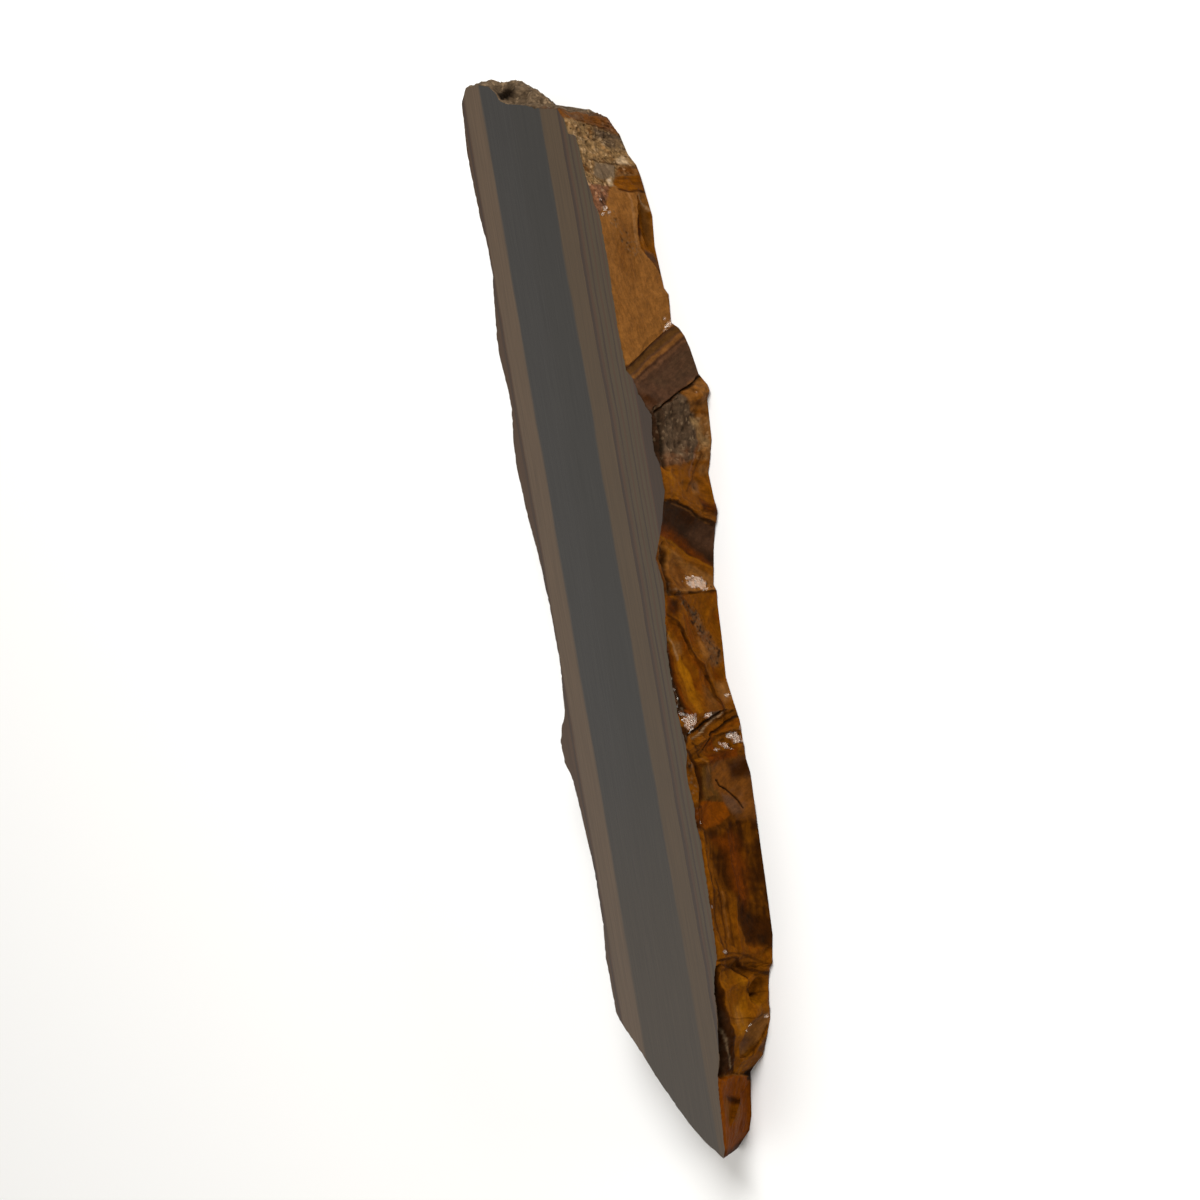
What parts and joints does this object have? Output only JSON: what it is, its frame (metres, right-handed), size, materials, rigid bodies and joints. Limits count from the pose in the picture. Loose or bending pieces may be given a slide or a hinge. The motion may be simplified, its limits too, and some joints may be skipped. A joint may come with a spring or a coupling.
{
  "type": "tiger's eye slab",
  "caption": "Long rough slab of tiger's eye, one face sawn and polished, the edge left broken, tapering to a pointed tip.",
  "frame": {"origin": "centre of the bounding box at the level of the sawn back face", "axes": "+X along the fibre bands, from the pointed tip to the broad broken end; +Z out of the polished face; the freshly broken wall faces -Y"},
  "size_m": [0.3006, 0.0566, 0.0226],
  "materials": {
    "slab": "polished face, rough broken edge"
  },
  "bodies": {
    "root": {"slab": "slab"}
  },
  "joints": []
}
